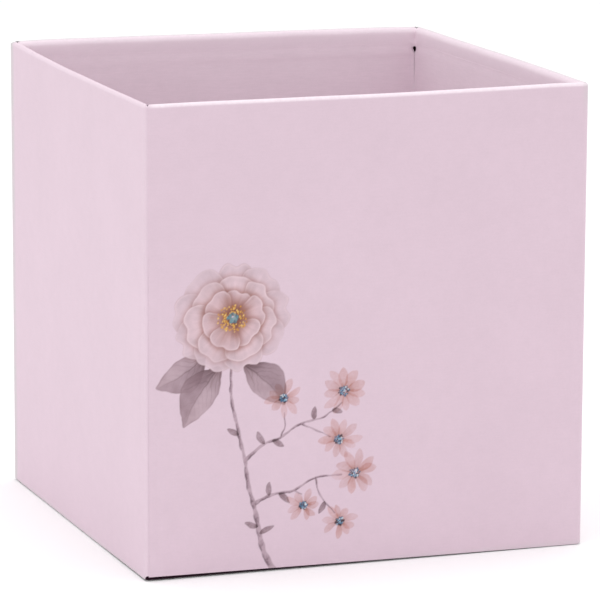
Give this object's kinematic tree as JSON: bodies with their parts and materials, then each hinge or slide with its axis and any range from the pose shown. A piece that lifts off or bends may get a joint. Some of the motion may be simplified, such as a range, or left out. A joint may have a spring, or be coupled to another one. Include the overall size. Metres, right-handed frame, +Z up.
{
  "type": "flower box",
  "caption": "Rigid open-topped cube flower box: board walls wrapped in pale pink paper with a floral spray printed on the front, lined inside, for holding an arrangement.",
  "frame": {"origin": "centre of the underside, on the surface the box stands on", "axes": "+Z up out of the open top; the printed front faces -Y; +X is to the right seen from the front"},
  "size_m": [0.15, 0.15, 0.1525],
  "materials": {
    "covering_paper": "pale pink printed paper, fine texture, satin",
    "lining_paper": "pale pink plain paper, fine texture, matte",
    "base_paper": "pale pink plain paper, matte",
    "core_board": "board dyed black through, matte, fibrous",
    "stay_tape": "gummed paper tape, pale, matte"
  },
  "bodies": {
    "root": {"base_sheet": "base_paper", "board_back": "core_board", "board_base": "core_board", "board_front": "core_board", "board_left": "core_board", "board_right": "core_board", "corner_stay_back_left": "stay_tape", "corner_stay_back_right": "stay_tape", "corner_stay_front_left": "stay_tape", "corner_stay_front_right": "stay_tape", "liner_back": "lining_paper", "liner_floor": "lining_paper", "liner_front": "lining_paper", "liner_left": "lining_paper", "liner_right": "lining_paper", "outer_wrap": "covering_paper"}
  },
  "joints": []
}
